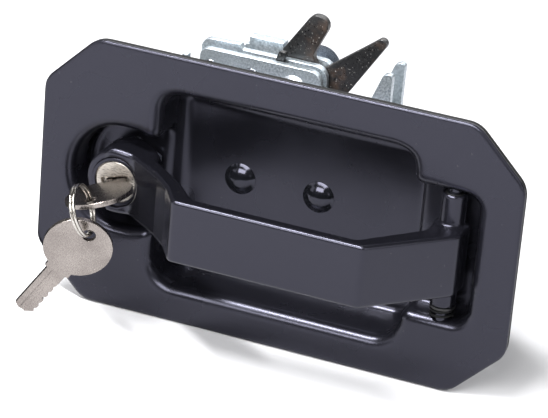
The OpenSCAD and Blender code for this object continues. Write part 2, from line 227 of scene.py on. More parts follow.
def outline_field(x, z, points):
    """Signed distance to a closed outline."""
    best, inside = None, None
    for (ax, az), (bx, bz) in zip(points, points[1:] + points[:1]):
        ex, ez = bx - ax, bz - az
        t = np.clip(((x - ax) * ex + (z - az) * ez) / (ex * ex + ez * ez), 0, 1)
        square = (x - ax - ex * t) ** 2 + (z - az - ez * t) ** 2
        crossed = ((az > z) != (bz > z)) & (x < ex * (z - az) / (ez if ez else 1e-9) + ax)
        best = square if best is None else np.minimum(best, square)
        inside = crossed if inside is None else inside ^ crossed
    return np.where(inside, -1.0, 1.0) * np.sqrt(best)


def flange_field(x, z):
    """Distance to the flange's outline: a rectangle with cut corners, all rounded."""
    ix, iz = FLANGE_W / 2 - FLANGE_R, FLANGE_H / 2 - FLANGE_R
    c = FLANGE_CUT - FLANGE_R * (2 - math.sqrt(2))
    corners = [(c - ix, -iz), (ix - c, -iz), (ix, c - iz), (ix, iz - c),
               (ix - c, iz), (c - ix, iz), (-ix, iz - c), (-ix, c - iz)]
    return outline_field(x, z, corners) - FLANGE_R


def front_field(x, d, z):
    """Distance to the pan's front surface, negative in the air before it; d is depth."""
    slant = ROOF_LEAN / WELL_DEPTH
    roof = (z - WELL_TOP + d * slant) / math.hypot(1, slant)
    well = round_off(box_field(x, z, *WELL), roof, ROOF_R)
    well = round_off(well, d - WELL_DEPTH, WELL_FLOOR_R)
    lobe = box_field(x, z, (LOCK_X - LOBE_R, -LOBE_R), (LOBE_TO, LOBE_R), LOBE_R - 0.2)
    lobe = round_off(lobe, d - LOBE_DEPTH, LOBE_FLOOR_R)
    pocket = round_off(box_field(x, z, *POCKET), d - POCKET_DEPTH, POCKET_FLOOR_R)
    wells = blend_in(blend_in(well, lobe, LOBE_MOUTH_R), pocket, POCKET_MOUTH_R)
    return blend_in(d + 0 * x, wells, RIM_R)


def pan_field(x, d, z):
    """Distance to the pan: the sheet behind its front surface, with the lock's and tail's holes."""
    front = front_field(x, d, z)
    sheet = round_off(np.maximum(-front, front - SHEET), flange_field(x, z), EDGE_R)
    arm = box_field(x, z, (LOCK_X - KEYHOLE_ARM, -KEYHOLE_HALF), (LOCK_X, KEYHOLE_HALF), KEYHOLE_HALF - 0.1)
    keyhole = np.maximum(np.minimum(np.hypot(x - LOCK_X, z) - KEYHOLE_R, arm), KEYHOLE_FROM - d)
    tail_slot = np.maximum(box_field(x, z, *TAIL_SLOT), TAIL_SLOT_FROM - d)
    return np.maximum(sheet, -np.minimum(keyhole, tail_slot))


def skin(field, low, high, step, steps=3):
    """A closed mesh of the field's zero surface: one point for each cell that it crosses, then each
    point is moved onto the surface. Returns points and four-sided faces that point outwards."""
    count = [int(math.ceil((high[i] - low[i]) / step)) + 1 for i in range(3)]
    axes = [low[i] + step * np.arange(count[i]) for i in range(3)]
    grid = axes[0][:, None, None], axes[1][None, :, None], axes[2][None, None, :]
    value = np.broadcast_to(field(*grid), count)
    total = np.zeros([n - 1 for n in count] + [3])
    hits = np.zeros([n - 1 for n in count])
    edges = []
    for axis in range(3):
        cut = lambda s: tuple(s if i == axis else slice(None) for i in range(3))
        a, b = value[cut(slice(None, -1))], value[cut(slice(1, None))]
        at = np.argwhere((a < 0) != (b < 0))
        va, vb = a[tuple(at.T)], b[tuple(at.T)]
        point = at.astype(float)
        point[:, axis] += va / (va - vb)
        others = [i for i in range(3) if i != axis]
        for i in (0, 1):
            for j in (0, 1):
                cell = at.copy()
                cell[:, others[0]] -= i
                cell[:, others[1]] -= j
                fine = np.all((cell >= 0) & (cell < hits.shape), axis=1)
                np.add.at(total, tuple(cell[fine].T), point[fine])
                np.add.at(hits, tuple(cell[fine].T), 1)
        edges.append((at, va < 0, others, axis))
    number = np.full(hits.shape, -1)
    used = hits > 0
    number[used] = np.arange(used.sum())
    points = total[used] / hits[used][:, None] * step + np.array(low)
    faces = []
    for at, inside, others, axis in edges:
        fine = (at[:, others[0]] > 0) & (at[:, others[1]] > 0)
        at, inside = at[fine], inside[fine]
        ring = []
        for i, j in ((1, 1), (0, 1), (0, 0), (1, 0)):
            cell = at.copy()
            cell[:, others[0]] -= i
            cell[:, others[1]] -= j
            ring.append(number[tuple(cell.T)])
        quad = np.stack(ring, 1)
        flip = inside if axis == 1 else ~inside
        quad[flip] = quad[flip][:, ::-1]
        faces.append(quad)
    eps = 0.02
    for _ in range(steps):
        here = field(*points.T)
        slope = np.stack([(field(*(points + eps * e).T) - field(*(points - eps * e).T)) / (2 * eps)
                          for e in np.eye(3)], 1)
        size = np.maximum((slope ** 2).sum(1), 0.3)
        points -= np.clip(here / size, -step / 2, step / 2)[:, None] * slope
    return points, np.concatenate(faces)


def in_frame(points):
    """Points of (x, depth, z) in millimetres as places in the frame, in metres."""
    return ((np.asarray(points) - (0, SEAT_DEPTH, 0)) / 1000).tolist()


def piece(name, shape, material, body, node, crease=0):
    """An object from points and faces in millimetres and depths, standing for a CAD node."""
    points, faces = shape
    mesh = bpy.data.meshes.new(name)
    mesh.from_pydata(in_frame(points), [], [list(face) for face in faces])
    mesh.polygons.foreach_set("use_smooth", [True] * len(mesh.polygons))
    if crease:
        mesh.set_sharp_from_angle(angle=math.radians(crease))
    mesh.materials.append(material)
    made = bpy.data.objects.new(name, mesh)
    bpy.context.collection.objects.link(made)
    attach(made, body)
    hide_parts(node)


def coat(name, colour, rough, peel, specks):
    """Powder coat: a polyester film whose orange peel, about 0.8 mm across, breaks up the highlights.
    The roughness drifts a little where hands polish it, and stray dust shows as pale specks."""
    material, tree, where = shader(name)
    grain = add(tree, "ShaderNodeTexNoise", [("Vector", where), ("Scale", 1250.0), ("Detail", 3.0),
                                             ("Roughness", 0.6)])
    drift = add(tree, "ShaderNodeTexNoise", [("Vector", where), ("Scale", 35.0), ("Detail", 4.0)])
    gloss = add(tree, "ShaderNodeMapRange", [
        ("Value", drift.outputs["Fac"]), ("From Min", 0.3), ("From Max", 0.7),
        ("To Min", rough - 0.05), ("To Max", rough + 0.06)])
    paler = [c * 1.25 for c in srgb(colour)]
    shade = add(tree, "ShaderNodeMix", [(0, drift.outputs["Fac"]), (6, srgb(colour)), (7, paler)],
                data_type="RGBA")
    dust = add(tree, "ShaderNodeTexVoronoi", [("Vector", where), ("Scale", 160.0), ("Randomness", 1.0)])
    thin = add(tree, "ShaderNodeMapRange", [("Value", dust.outputs["Distance"]), ("From Min", 0.05),
                                            ("From Max", 0.02), ("To Max", specks)])
    dusty = add(tree, "ShaderNodeMix", [(0, thin.outputs[0]), (6, shade.outputs[2]),
                                        (7, srgb("#8a8a88"))], data_type="RGBA")
    bump = add(tree, "ShaderNodeBump", [("Height", grain.outputs["Fac"]), ("Strength", peel),
                                        ("Distance", 0.0001)])
    close(tree, add(tree, "ShaderNodeBsdfPrincipled", [
        ("Base Color", dusty.outputs[2]), ("Roughness", gloss.outputs[0]), ("Specular IOR Level", 0.5),
        ("Specular Tint", srgb("#e4e4ff")), ("Normal", bump.outputs[0])]))
    return material


# Satin: wide soft highlights on the flange, thin bright ones on the rolled rims.
satin_coat = coat("satin_powder_coat", "#0d0d11", 0.27, 0.2, 0.15)
pan_shape = skin(pan_field, (-98, -1.5, -56), (98, 28.5, 56), 1.0)
piece("pressed_pan", pan_shape, satin_coat, "pan", "pan")

# ---------------------------------------------------------------- Handle
# A zinc die casting: a flat grip between two slanting arms, with a round boss at the left for the
# lock and a knuckle at the right on the hinge pin. A tail behind the knuckle pushes the slide bar.
# The die leaves soft facets and edges of about 1.3 mm, and the coat on it is a little glossier.

HANDLE_HALF = 12.4
CAST_EDGE = 1.3
GRIP_OUT = 33.5
BOSS_MIDDLE, BOSS_HALF = 5.5, 8.5
KNUCKLE_R, NECK_R, PIN_HOLE_R = 6.6, 4.8, 3.6
NECK_MIDDLE, NECK_HALF = 2.15, 22.65
NECK_EDGE, HUB_EDGE = 0.6, 0.8
BOSS_BLEND, HUB_BLEND = 3, 1.5
BARREL_R, BEZEL_R, BEZEL_BACK = 9.0, 9.7, -3.0
TAIL_MIDDLE, TAIL_HALF = 21, 16.5
TAIL = (HINGE[0] - 2.5, BAR_Z - 5), (HINGE[0] + 2.5, BAR_Z + 5), 1


def fillet(before, corner, after, r, count=6):
    """Points of the arc of radius r that rounds a corner."""
    p = Vector(corner)
    u, v = (Vector(before) - p).normalized(), (Vector(after) - p).normalized()
    half = u.angle(v) / 2
    centre = p + (u + v).normalized() * (r / math.sin(half))
    start, end = p + u * (r / math.tan(half)) - centre, p + v * (r / math.tan(half)) - centre
    swept = math.atan2(start.x * end.y - start.y * end.x, start.dot(end))
    return [tuple(centre + Matrix.Rotation(swept * i / count, 2) @ start) for i in range(count + 1)]


def rounded(corners):
    """An outline from [x, y] and [x, y, radius] corners."""
    out = []
    for i, c in enumerate(corners):
        before, after = corners[i - 1][:2], corners[(i + 1) % len(corners)][:2]
        out += fillet(before, c[:2], after, c[2]) if len(c) == 3 else [tuple(c)]
    return out


# From above: the outer side from the boss to the knuckle, then the inner side back to the boss.
ARMS_AND_GRIP = rounded([
    [LOCK_X - 3, -3], [-57, -3.4, 4], [-50.5, -8.2, 6], [-40.5, -16, 12], [-33.5, -23.4, 8],
    [-27, -GRIP_OUT, 3], [48, -GRIP_OUT, 3.5], [75.3, -5.5, 4], [75, 4], [HINGE[0], 9], [63, 4, 2],
    [61.9, -6.6, 5], [43.5, -28, 3], [-21, -28, 3], [-31, -16, 6], [-46, -3, 6], [-49, 5, 2],
    [LOCK_X - 3, 6]])


def handle_field(x, d, z):
    """Distance to the handle, with the barrel's bore, the bezel's recess and the pin's hole."""
    arms = round_off(outline_field(x, d, ARMS_AND_GRIP), np.abs(z) - HANDLE_HALF, CAST_EDGE)
    ring = np.hypot(x - LOCK_X, z)
    boss = round_off(ring - HANDLE_HALF, np.abs(d - BOSS_MIDDLE) - BOSS_HALF, CAST_EDGE)
    hub = np.hypot(x - HINGE[0], d - HINGE[1])
    neck = round_off(hub - NECK_R, np.abs(z - NECK_MIDDLE) - NECK_HALF, NECK_EDGE)
    knuckle = np.minimum(round_off(hub - KNUCKLE_R, np.abs(z) - HANDLE_HALF, HUB_EDGE), neck)
    tail = round_off(box_field(x, z, *TAIL), np.abs(d - TAIL_MIDDLE) - TAIL_HALF, HUB_EDGE)
    solid = blend_in(blend_in(blend_in(arms, boss, BOSS_BLEND), knuckle, HUB_BLEND), tail, HUB_BLEND)
    bore = np.minimum(ring - BARREL_R, np.maximum(ring - BEZEL_R, d - BEZEL_BACK))
    return np.maximum(solid, -np.minimum(bore, hub - PIN_HOLE_R))


# Semi-gloss: the same film over a smoother casting, so its highlights are a little tighter.
cast_coat = coat("semi_gloss_powder_coat", "#0d0d11", 0.22, 0.18, 0.15)
handle_shape = skin(handle_field, (-77, -36, -22), (78, 39, 26), 0.8)
piece("handle_casting", handle_shape, cast_coat, "handle", "handle")

# ---------------------------------------------------------------- Gasket
# A ring of 2 mm closed-cell rubber between the flange and the door, die cut a hair inside the
# flange's edge. Its cut edge shows a fine open grain.

# Edges that turn by more than this many degrees are edges of the piece, not facets of a curve.
SHARP = 35


def settle(made, body, node):
    """An object with modifiers turned into a plain mesh, riding on a body and standing for a node."""
    solid = bpy.data.meshes.new_from_object(made.evaluated_get(bpy.context.evaluated_depsgraph_get()))
    made.modifiers.clear()
    made.data = solid
    solid.name = made.name
    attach(made, body)
    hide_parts(node)
    return made


def softened(name, node, width, material, body):
    """A CAD node's shape with its sharp edges broken to a small radius, standing for that node."""
    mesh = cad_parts[node].data.copy()
    shape = bmesh.new()
    shape.from_mesh(mesh)
    bmesh.ops.remove_doubles(shape, verts=shape.verts, dist=2e-6)
    bmesh.ops.dissolve_limit(shape, angle_limit=math.radians(1), verts=shape.verts, edges=shape.edges)
    shape.to_mesh(mesh)
    shape.free()
    mesh.materials.clear()
    mesh.materials.append(material)
    made = bpy.data.objects.new(name, mesh)
    bpy.context.collection.objects.link(made)
    edge = made.modifiers.new("broken_edges", "BEVEL")
    edge.width, edge.segments, edge.limit_method = width / 1000, 2, "ANGLE"
    edge.angle_limit, edge.use_clamp_overlap = math.radians(SHARP), False
    made.modifiers.new("even_normals", "WEIGHTED_NORMAL").weight = 90
    mesh.polygons.foreach_set("use_smooth", [True] * len(mesh.polygons))
    settle(made, body, node)


def grained(name, colour, second, rough, grain, bump, metallic=0.0, stretch=(1, 1, 1), level=0.5):
    """A surface whose colour, roughness and height all follow one noise; grain is its size in mm."""
    material, tree, where = shader(name)
    drawn = add(tree, "ShaderNodeMapping", [("Vector", where), ("Scale", stretch)])
    noise = add(tree, "ShaderNodeTexNoise", [("Vector", drawn.outputs[0]), ("Scale", 1000 / grain),
                                             ("Detail", 3.0)])
    cloud = add(tree, "ShaderNodeTexNoise", [("Vector", where), ("Scale", 90.0), ("Detail", 3.0)])
    both = add(tree, "ShaderNodeMath", [(0, noise.outputs["Fac"]), (1, cloud.outputs["Fac"])],
               operation="MULTIPLY")
    part = add(tree, "ShaderNodeMapRange", [("Value", both.outputs[0]), ("From Min", 0.15),
                                            ("From Max", 0.36)])
    shade = add(tree, "ShaderNodeMix", [(0, part.outputs[0]), (6, srgb(colour)), (7, srgb(second))],
                data_type="RGBA")
    gloss = add(tree, "ShaderNodeMapRange", [
        ("Value", noise.outputs["Fac"]), ("From Min", 0.3), ("From Max", 0.7),
        ("To Min", rough - 0.07), ("To Max", rough + 0.08)])
    relief = add(tree, "ShaderNodeBump", [("Height", noise.outputs["Fac"]), ("Strength", bump),
                                          ("Distance", 0.0001)])
    close(tree, add(tree, "ShaderNodeBsdfPrincipled", [
        ("Base Color", shade.outputs[2]), ("Roughness", gloss.outputs[0]), ("Metallic", metallic),
        ("Specular IOR Level", level), ("Normal", relief.outputs[0])]))
    return material


# Closed-cell rubber: nearly matt black, its cut cells about half a millimetre across.
cell_rubber = grained("closed_cell_rubber", "#0b0b0c", "#1a1a1b", 0.75, 0.5, 0.5, level=0.3)
softened("door_gasket", "gasket", 0.25, cell_rubber, "pan")

# ---------------------------------------------------------------- Studs
# Four M5 studs welded by their feet to the back of the flange, zinc plated. Their threads are
# rolled, 0.8 mm from crest to crest, and their ends are chamfered.

STUD_X, STUD_Z = 74, 38
STUD_THREAD = 4.8, 19.2, 0.8, 0.42


def turned(profile, sides=40, closed=False, thread=None):
    """A lathed solid about the depth axis from (radius, depth) points, front to back. thread is
    (from, to, pitch, height); where a radius is negative, the ring is a hexagon of that apothem."""
    rows = []
    for i, (r, d) in enumerate(profile):
        if thread and i and thread[0] <= profile[i - 1][1] < d <= thread[1]:
            last = profile[i - 1]
            steps = int((d - last[1]) / (thread[2] / 4))
            rows += [(last[0], last[1] + (d - last[1]) * k / steps, True) for k in range(1, steps)]
        rows.append((r, d, False))
    points, starts = [], []
    for r, d, cut in rows:
        starts.append(len(points))
        if r == 0:
            points.append((0.0, d, 0.0))
            continue
        for j in range(sides):
            a = 2 * math.pi * j / sides
            here = -r / math.cos((a + math.pi / 6) % (math.pi / 3) - math.pi / 6) if r < 0 else r
            if cut:
                here -= thread[3] * abs(((d / thread[2] - j / sides) % 1) * 2 - 1)
            points.append((here * math.cos(a), d, here * math.sin(a)))
    faces = []
    pairs = list(zip(range(len(rows)), range(1, len(rows))))
    if closed:
        pairs.append((len(rows) - 1, 0))
    for a, b in pairs:
        for j in range(sides):
            k = (j + 1) % sides
            first = [starts[a]] if rows[a][0] == 0 else [starts[a] + k, starts[a] + j]
            second = [starts[b]] if rows[b][0] == 0 else [starts[b] + j, starts[b] + k]
            faces.append(first + second)
    return points, faces


def smooth_solid(name, points, faces, material):
    """An object of its own, with its shape in metres, smooth except at its creases."""
    mesh = bpy.data.meshes.new(name)
    mesh.from_pydata([[c / 1000 for c in p] for p in points], [], faces)
    mesh.polygons.foreach_set("use_smooth", [True] * len(faces))
    mesh.set_sharp_from_angle(angle=math.radians(SHARP))
    mesh.materials.append(material)
    made = bpy.data.objects.new(name, mesh)
    bpy.context.collection.objects.link(made)
    return made


def node_tree(name, inputs):
    """A Geometry Nodes tree with named inputs. Returns it and its Group Input node."""
    tree = bpy.data.node_groups.new(name, "GeometryNodeTree")
    tree.interface.new_socket("Geometry", in_out="INPUT", socket_type="NodeSocketGeometry")
    for label, kind in inputs:
        tree.interface.new_socket(label, in_out="INPUT", socket_type=kind)
    tree.interface.new_socket("Geometry", in_out="OUTPUT", socket_type="NodeSocketGeometry")
    return tree, add(tree, "NodeGroupInput")


def finish_tree(tree, shape, finish):
    """Ends a tree with real geometry and its material."""
    real = add(tree, "GeometryNodeRealizeInstances", [("Geometry", shape)])
    done = add(tree, "GeometryNodeSetMaterial", [("Geometry", real.outputs[0]), ("Material", finish)])
    add(tree, "NodeGroupOutput", [(0, done.outputs[0])])
    return tree


def grown(name, tree, points, edges, body, slot_name, node, **inputs):
    """What a tree builds on some points and edges, turned into a plain mesh."""
    mesh = bpy.data.meshes.new(name)
    mesh.from_pydata(in_frame(points), edges, [])
    made = bpy.data.objects.new(name, mesh)
    bpy.context.collection.objects.link(made)
    work = made.modifiers.new("build", "NODES")
    work.node_group = tree
    for item in tree.interface.items_tree:
        if item.in_out == "INPUT" and item.name in inputs:
            work[item.identifier] = inputs[item.name]
    return settle(made, body, node)


def repeat_tree():
    """Sets a part on each point, turned about the depth axis by a fixed random share of Turn."""
    tree, given = node_tree("parts_on_points", [
        ("Part", "NodeSocketObject"), ("Turn", "NodeSocketFloat"), ("Seed", "NodeSocketInt"),
        ("Finish", "NodeSocketMaterial")])
    part = add(tree, "GeometryNodeObjectInfo", [("Object", given.outputs["Part"])])
    spin = add(tree, "FunctionNodeRandomValue", [(3, given.outputs["Turn"]),
                                                 ("Seed", given.outputs["Seed"])])
    spin.inputs[2].default_value = 0.0
    about = add(tree, "ShaderNodeCombineXYZ", [("Y", spin.outputs[1])])
    many = add(tree, "GeometryNodeInstanceOnPoints", [
        ("Points", given.outputs["Geometry"]), ("Instance", part.outputs["Geometry"]),
        ("Rotation", about.outputs[0])])
    return finish_tree(tree, many.outputs[0], given.outputs["Finish"])


parts_on_points = repeat_tree()


def several(name, shape, places, material, body, slot_name, node, turn=0.0):
    """One part at each (x, z) place, its depths its own."""
    one = smooth_solid(name + "_part", *shape, material)
    grown(name, parts_on_points, [(x, 0.0, z) for x, z in places], [], body, slot_name, node,
          Part=one, Turn=turn, Seed=3, Finish=material)
    bpy.data.objects.remove(one)


# Zinc plate on turned steel: bright and faintly bluish, with a fine grain of about 0.35 mm.
zinc_hardware = grained("zinc_plated_hardware", "#a8adb6", "#d3d8de", 0.3, 0.35, 0.12, metallic=1.0)
stud = turned([(0, 2.0), (4.2, 2.0), (4.5, 2.15), (4.5, 2.65), (4.3, 2.8), (2.7, 2.95), (2.45, 3.3),
               (2.45, 4.4), (2.5, 4.8), (2.5, 19.2), (1.9, 20.0), (0, 20.0)],
              sides=28, thread=STUD_THREAD)
several("weld_studs", stud, [(x, z) for x in (-STUD_X, STUD_X) for z in (-STUD_Z, STUD_Z)],
        zinc_hardware, "pan", "zinc_hardware", "mounting_studs")

# ---------------------------------------------------------------- Catch bolts, washers and nuts
# Two domed bolts whose heads, painted gloss black, lie in the recess. They clamp the catch to the
# back of the pan with a plain washer and a hexagon nut each, both zinc plated.

BOLTS = [(-23.2, 0), (9, 0)]
BOLT_THREAD = 44.2, 50.4, 1.0, 0.5
NUT_ACROSS = 10.04
NUT_TURN = 0.5


def dome_profile(r, h, seat, count=9):
    """A shallow dome of radius r and height h that stands forward of a depth, from its pole."""
    ball = (r * r + h * h) / (2 * h)
    most = math.asin(min(1, r / ball))
    arc = [(ball * math.sin(most * i / count), seat - h + ball - ball * math.cos(most * i / count))
           for i in range(count)]
    return [(0, seat - h)] + arc[1:]


def hexagon_nut(across, front, back, bore):
    """A nut with both rims chamfered at its corners; across is its size across flats."""
    flat = across / 2
    return turned([(bore, front + 0.4), (bore + 0.4, front), (flat * 0.94, front),
                   (-flat * 0.985, front + 0.25), (-flat, front + 0.6), (-flat, back - 0.6),
                   (-flat * 0.985, back - 0.25), (flat * 0.94, back), (bore + 0.4, back),
                   (bore, back - 0.4)], sides=48, closed=True)


# Gloss paint: a level film, so each lamp shows in the domes as a small sharp highlight.
gloss_paint = coat("gloss_black_paint", "#101114", 0.12, 0.05, 0.0)
bolt = turned(dome_profile(6.1, 2.85, WELL_DEPTH) + [
    (6.15, 24.75), (6.3, 24.85), (6.3, 25.0), (3, 25.0), (3, 44.0), (2.95, 44.2), (2.95, 50.4),
    (2.3, 51.0), (0, 51.0)], sides=48, thread=BOLT_THREAD)
several("domed_bolts", bolt, BOLTS, gloss_paint, "pan", "gloss_black", "catch_bolts")
washer = turned([(3.1, 43.6), (3.3, 43.5), (5.8, 43.5), (6, 43.65), (6, 44.6), (5.85, 44.7),
                 (3.3, 44.7), (3.1, 44.6)], closed=True)
several("plain_washers", washer, BOLTS, zinc_hardware, "pan", "zinc_hardware", "bolt_washers")
several("hexagon_nuts", hexagon_nut(NUT_ACROSS, 44.7, 49.5, 3.0), BOLTS, zinc_hardware,
        "pan", "zinc_hardware", "bolt_nuts", turn=NUT_TURN)

# ---------------------------------------------------------------- Plates
# Three 3 mm plates, blanked from steel and plated with bright blue-white zinc that shows the fine
# grain of the sheet. Spacers hold them apart, and four rivets go through all of them.

RIVETS = [(-40, 42), (-40, -17.5), (30, -17.5), (31, 8)]
GUIDES = [(-12, BAR_Z), (26, BAR_Z)]


def zinc_sheet():
    """Bright zinc on pickled sheet: a frosty grain of about 0.8 mm with darker and paler crystals,
    drawn about twice as coarse as it is so that it shows."""
    material, tree, where = shader("bright_zinc_sheet")
    crystal = add(tree, "ShaderNodeTexVoronoi", [("Vector", where), ("Scale", 1900.0)])
    mottle = add(tree, "ShaderNodeTexNoise", [("Vector", where), ("Scale", 1300.0), ("Detail", 4.0)])
    drift = add(tree, "ShaderNodeTexNoise", [("Vector", where), ("Scale", 70.0), ("Detail", 3.0)])
    fac = add(tree, "ShaderNodeMapRange", [("Value", mottle.outputs["Fac"]), ("From Min", 0.35),
                                           ("From Max", 0.65)])
    base = add(tree, "ShaderNodeMix", [(0, fac.outputs[0]), (6, srgb("#6c747d")),
                                       (7, srgb("#d0d7dc"))], data_type="RGBA")
    tint = add(tree, "ShaderNodeMix", [(0, drift.outputs["Fac"]), (6, base.outputs[2]),
                                       (7, srgb("#b4bfc6"))], data_type="RGBA")
    gloss = add(tree, "ShaderNodeMapRange", [("Value", crystal.outputs["Distance"]), ("To Min", 0.26),
                                             ("To Max", 0.44)])
    bump = add(tree, "ShaderNodeBump", [("Height", mottle.outputs["Fac"]), ("Strength", 0.35),
                                        ("Distance", 0.00008)])
    close(tree, add(tree, "ShaderNodeBsdfPrincipled", [
        ("Base Color", tint.outputs[2]), ("Roughness", gloss.outputs[0]), ("Metallic", 0.75),
        ("Normal", bump.outputs[0])]))
    return material


bright_zinc = zinc_sheet()
for plate in ("front_plate", "middle_plate", "rear_plate"):
    softened(plate + "_blank", plate, 0.4, bright_zinc, "pan")
softened("spacer_tubes", "plate_spacers", 0.2, zinc_hardware, "pan")
rivet = turned([(0, 27.0), (2.3, 27.0), (2.5, 27.2), (2.5, 43.5), (4.2, 43.5), (4.2, 44.1),
                (3.9, 44.6), (3.2, 44.95), (2.0, 45.1), (0, 45.1)])
several("flat_head_rivets", rivet, RIVETS, zinc_hardware, "pan", "zinc_hardware", "plate_rivets")
guide_pin = turned([(0, 27.0), (1.5, 27.0), (1.7, 27.2), (1.7, 35.8), (1.5, 36.0), (0, 36.0)],
                   sides=24)
several("guide_pins", guide_pin, GUIDES, zinc_hardware, "pan", "zinc_hardware", "slide_pins")

# ---------------------------------------------------------------- Rotor, pivot and spring drum
# A forked rotor of 3.5 mm steel, blanked and blackened, on a shouldered pivot. The black oxide has
# rubbed to brown in places and has pale specks. A blued drum behind it holds its wound spring.

ROTOR = (-6, 40)


def black_oxide(name, base, worn, speckle):
    """Hot black oxide under dry oil: nearly black, browner where it is thin, with pale scratches."""
    material, tree, where = shader(name)
    cloud = add(tree, "ShaderNodeTexNoise", [("Vector", where), ("Scale", 110.0), ("Detail", 5.0),
                                             ("Roughness", 0.65)])
    thin = add(tree, "ShaderNodeMapRange", [("Value", cloud.outputs["Fac"]), ("From Min", 0.52),
                                            ("From Max", 0.72)])
    shade = add(tree, "ShaderNodeMix", [(0, thin.outputs[0]), (6, srgb(base)), (7, srgb(worn))],
                data_type="RGBA")
    speck = add(tree, "ShaderNodeTexNoise", [("Vector", where), ("Scale", 1500.0), ("Detail", 2.0)])
    pale = add(tree, "ShaderNodeMapRange", [("Value", speck.outputs["Fac"]), ("From Min", 0.66),
                                            ("From Max", 0.72), ("To Max", speckle)])
    dusty = add(tree, "ShaderNodeMix", [(0, pale.outputs[0]), (6, shade.outputs[2]),
                                        (7, srgb("#9c9a98"))], data_type="RGBA")
    gloss = add(tree, "ShaderNodeMapRange", [
        ("Value", speck.outputs["Fac"]), ("From Min", 0.3), ("From Max", 0.7), ("To Min", 0.27),
        ("To Max", 0.5)])
    bump = add(tree, "ShaderNodeBump", [("Height", speck.outputs["Fac"]), ("Strength", 0.35),
                                        ("Distance", 0.0001)])
    close(tree, add(tree, "ShaderNodeBsdfPrincipled", [
        ("Base Color", dusty.outputs[2]), ("Roughness", gloss.outputs[0]),
        ("Specular IOR Level", 0.6), ("Normal", bump.outputs[0])]))
    return material


def lathed_piece(name, shape, centre, material, body, node):
    """One lathed piece about an (x, z) centre."""
    points, faces = shape
    moved = np.array(points) + (centre[0], 0, centre[1])
    piece(name, (moved, faces), material, body, node, crease=SHARP)


def wire_tree():
    """A round wire along the edges it is given."""
    tree, given = node_tree("wire_on_path", [("Wire Radius", "NodeSocketFloat"),
                                             ("Finish", "NodeSocketMaterial")])
    path = add(tree, "GeometryNodeMeshToCurve", [(0, given.outputs["Geometry"])])
    section = add(tree, "GeometryNodeCurvePrimitiveCircle", [
        ("Resolution", 12), ("Radius", given.outputs["Wire Radius"])])
    tube = add(tree, "GeometryNodeCurveToMesh", [
        ("Curve", path.outputs[0]), ("Profile Curve", section.outputs[0]), ("Fill Caps", True)])
    return finish_tree(tree, tube.outputs[0], given.outputs["Finish"])


wire_on_path = wire_tree()


def coil(centre, r, first, pitch, turns, per_turn=40):
    """A wound path about an (x, z) centre, its first and last 0.6 of a turn lying flat."""
    flat = 0.6
    path = []
    for i in range(int(turns * per_turn) + 1):
        t, a = i / per_turn, 2 * math.pi * i / per_turn
        rise = min(max(t - flat, 0), turns - 2 * flat) * (turns / (turns - 2 * flat))
        path.append((r * math.cos(a) + centre[0], first + pitch * rise, r * math.sin(a) + centre[1]))
    return path


def wound(name, path, radius, material, body, slot_name, node):
    """A piece of round wire along a path, its faces turned outwards."""
    steps = [(i, i + 1) for i in range(len(path) - 1)]
    made = grown(name, wire_on_path, path, steps, body, slot_name, node,
                 **{"Wire Radius": radius / 1000, "Finish": material})
    shape = bmesh.new()
    shape.from_mesh(made.data)
    bmesh.ops.recalc_face_normals(shape, faces=shape.faces)
    shape.to_mesh(made.data)
    shape.free()
    made.data.polygons.foreach_set("use_smooth", [True] * len(made.data.polygons))


rotor_black = black_oxide("black_oxide_rotor", "#151516", "#3a2d25", 0.8)
softened("fork_rotor", "rotor", 0.4, rotor_black, "rotor")
# Plain brass: a warm, fairly even metal with light tool marks.
plain_brass = grained("plain_brass", "#b08f52", "#cfae6c", 0.3, 0.6, 0.1, metallic=1.0)
softened("rotor_sleeve", "rotor_bush", 0.1, plain_brass, "rotor")
pivot = turned(dome_profile(5.5, 2.25, 27.0) + [
    (5.6, 26.9), (5.6, 27.0), (4, 27.0), (4, 57.0), (4.8, 57.0), (4.8, 57.7), (4.3, 58.2), (0, 58.2)],
    sides=48)
lathed_piece("rotor_pivot_pin", pivot, ROTOR, zinc_hardware, "pan", "rotor_pivot")
# Blued steel: a dark metal with a cold blue cast, smooth enough to mirror the plates.
blued_steel = grained("blued_steel", "#3d4856", "#5d6b7b", 0.26, 0.5, 0.12, metallic=1.0)
drum = turned([(7.8, 43.5), (8.4, 43.6), (8.4, 55.6), (8.1, 56.5), (7.2, 57.0), (4.2, 57.0),
               (4.0, 56.8), (4.0, 56.1), (7.2, 56.0), (7.75, 55.4)], sides=56, closed=True)
lathed_piece("spring_drum", drum, ROTOR, blued_steel, "pan", "rotor_drum")
# Oil-tempered wire: dark grey with a dull shine along each turn.
spring_wire = grained("oil_tempered_wire", "#3f4247", "#6a6e74", 0.3, 0.3, 0.1, metallic=1.0)
wound("rotor_torsion_spring", coil(ROTOR, 5.6, 45.0, 1.2, 8.2), 0.55, spring_wire,
      "pan", "spring_steel", "rotor_spring")

# ---------------------------------------------------------------- Pawl, shaft, housing and trip lever
# The pawl and the trip lever are both fast on one shaft. The pawl's tooth holds the rotor and the
# lever is what the slide bar pushes. A bright cup behind the plates covers the pawl's return spring.

PAWL = (-23, 41.5)

lever_black = black_oxide("black_oxide_lever", "#111213", "#232324", 0.35)
softened("hooked_pawl", "pawl", 0.35, lever_black, "pawl")
softened("trip_arm", "trip_lever", 0.3, lever_black, "pawl")
softened("pawl_spindle", "pawl_shaft", 0.25, zinc_hardware, "pawl")
softened("spindle_clip", "shaft_clip", 0.12, spring_wire, "pawl")
